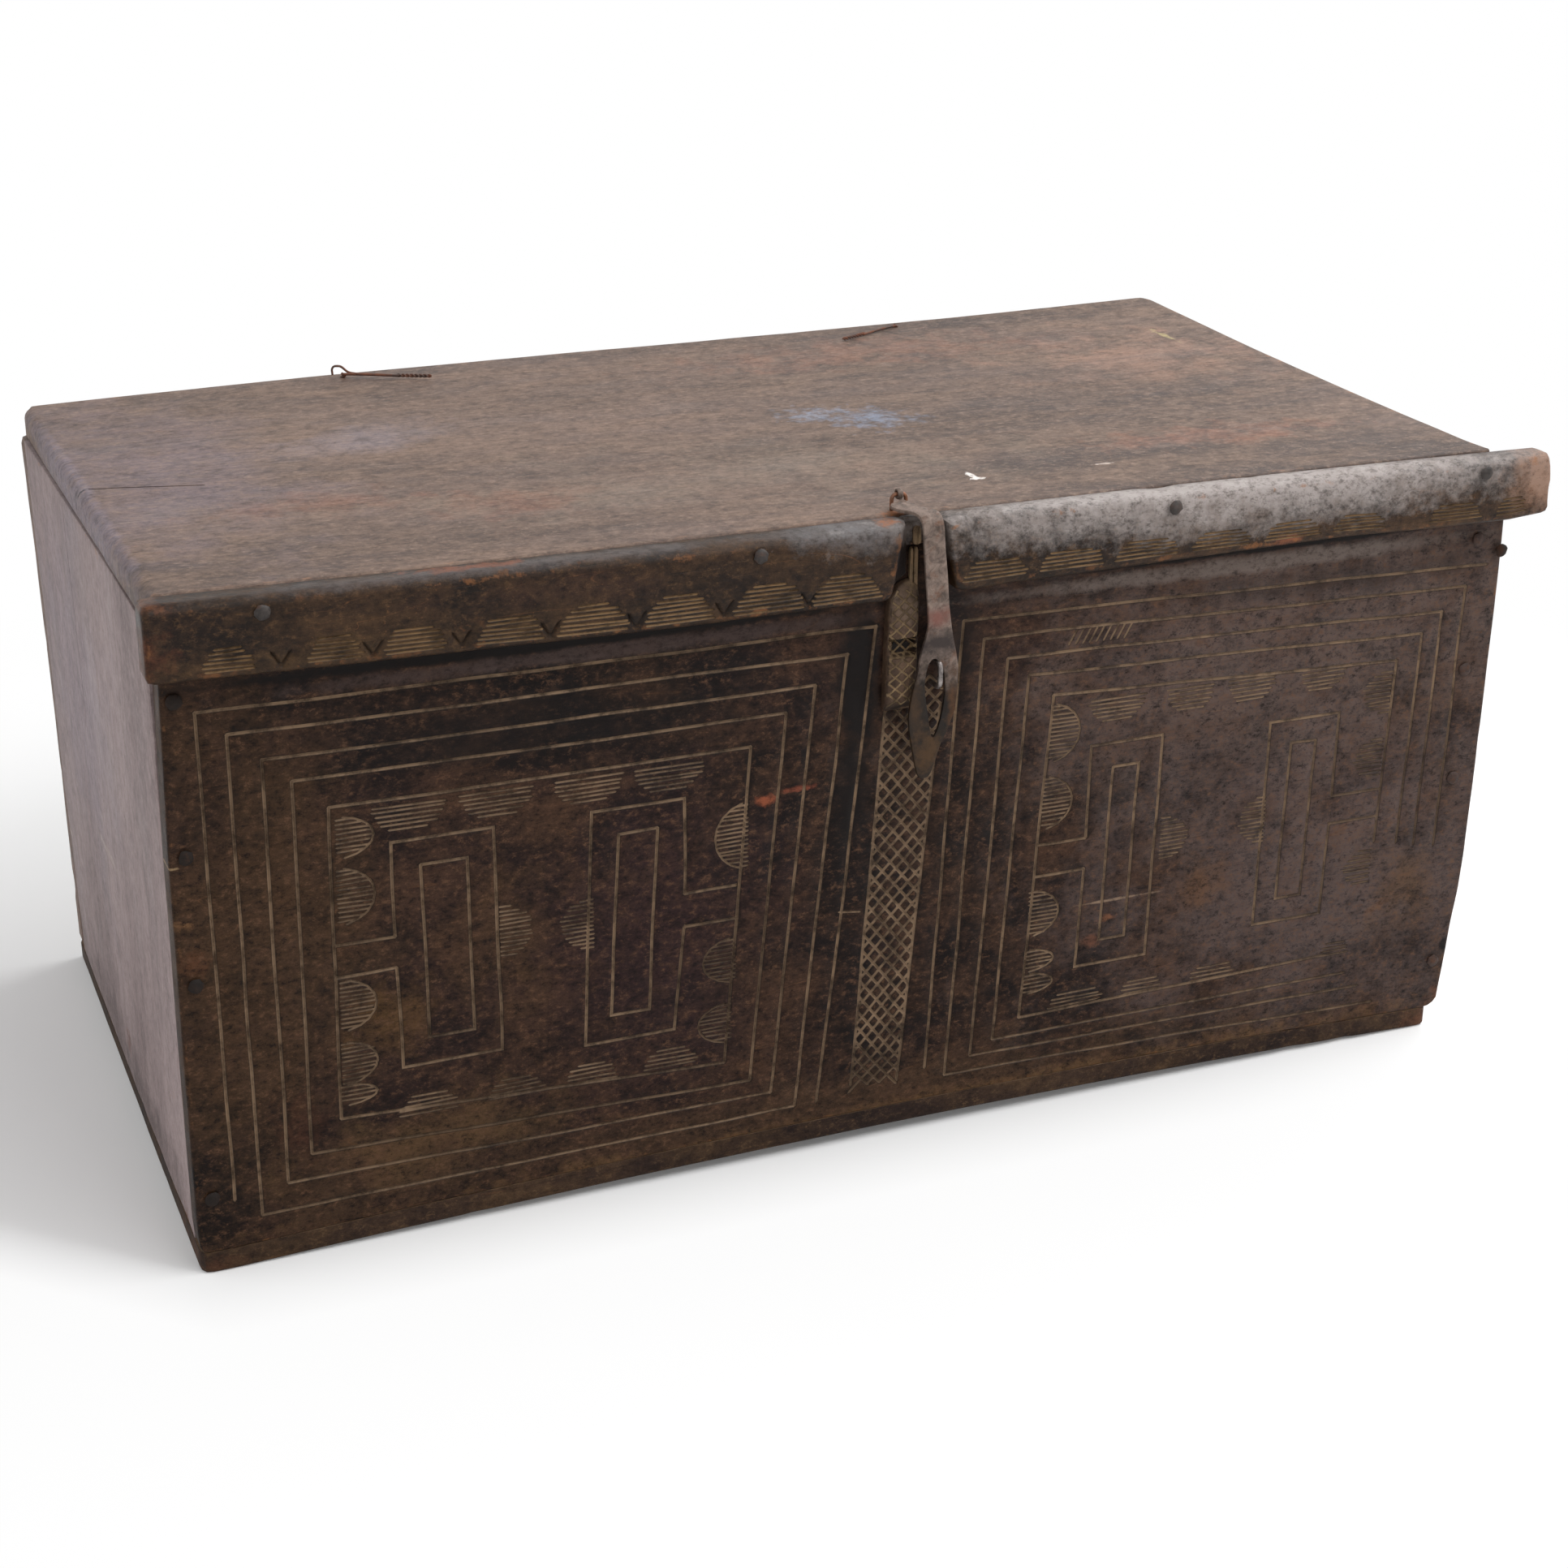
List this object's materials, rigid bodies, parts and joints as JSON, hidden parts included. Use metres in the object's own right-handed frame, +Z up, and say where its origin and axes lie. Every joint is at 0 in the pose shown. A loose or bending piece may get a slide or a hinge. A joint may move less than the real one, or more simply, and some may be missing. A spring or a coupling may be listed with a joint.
{
  "type": "coffer chest",
  "caption": "Six-board nailed coffer chest of dark wood with an incised front, a lid on split-pin hinges with a front batten, and a slotted iron hasp over a staple.",
  "frame": {"origin": "centre of the case footprint, on the underside of the bottom board", "axes": "+X along the chest to the right seen from the front, +Y from the front board to the back board, +Z up through the lid"},
  "size_m": [0.923, 0.5049, 0.4401],
  "materials": {
    "front_wood": "old dark oiled softwood, mottled, scratched",
    "case_wood": "weathered grey-brown boards, matt",
    "bottom_wood": "raw browned board",
    "lid_wood": "weathered grey-brown board, stained",
    "batten_wood": "dark polished by handling, worn orange at the edges",
    "nail_iron": "dark rusted forged iron",
    "wrought_iron": "rusted wrought wire",
    "hasp_iron": "grey-brown wrought strap with rust patches"
  },
  "bodies": {
    "root": {"front_board": "front_wood", "back_board": "case_wood", "left_end_board": "case_wood", "right_end_board": "case_wood", "bottom_board": "bottom_wood", "front_left_nails": "nail_iron", "front_right_nails": "nail_iron", "back_left_nails": "nail_iron", "back_right_nails": "nail_iron", "bottom_front_nails": "nail_iron", "bottom_back_nails": "nail_iron", "bottom_end_nails": "nail_iron", "front_edge_nail": "nail_iron", "lock_staple": "wrought_iron", "left_hinge_back_pin": "wrought_iron", "right_hinge_back_pin": "wrought_iron"},
    "lid": {"lid_board": "lid_wood", "lid_front_batten": "batten_wood", "batten_nails": "nail_iron", "hasp_eye": "wrought_iron", "left_hinge_lid_pin": "wrought_iron", "right_hinge_lid_pin": "wrought_iron"},
    "hasp": {"hasp": "hasp_iron"}
  },
  "joints": [
    {"name": "lid_hinge", "type": "hinge", "parent": "root", "child": "lid", "pos_m": [0, 0.24239, 0.407], "axis": [-1, 0, 0], "range_deg": [0, 105]},
    {"name": "hasp_swing", "type": "hinge", "parent": "lid", "child": "hasp", "pos_m": [0.0035, -0.226, 0.4365], "axis": [-1, 0, 0], "range_deg": [0, 180]}
  ]
}
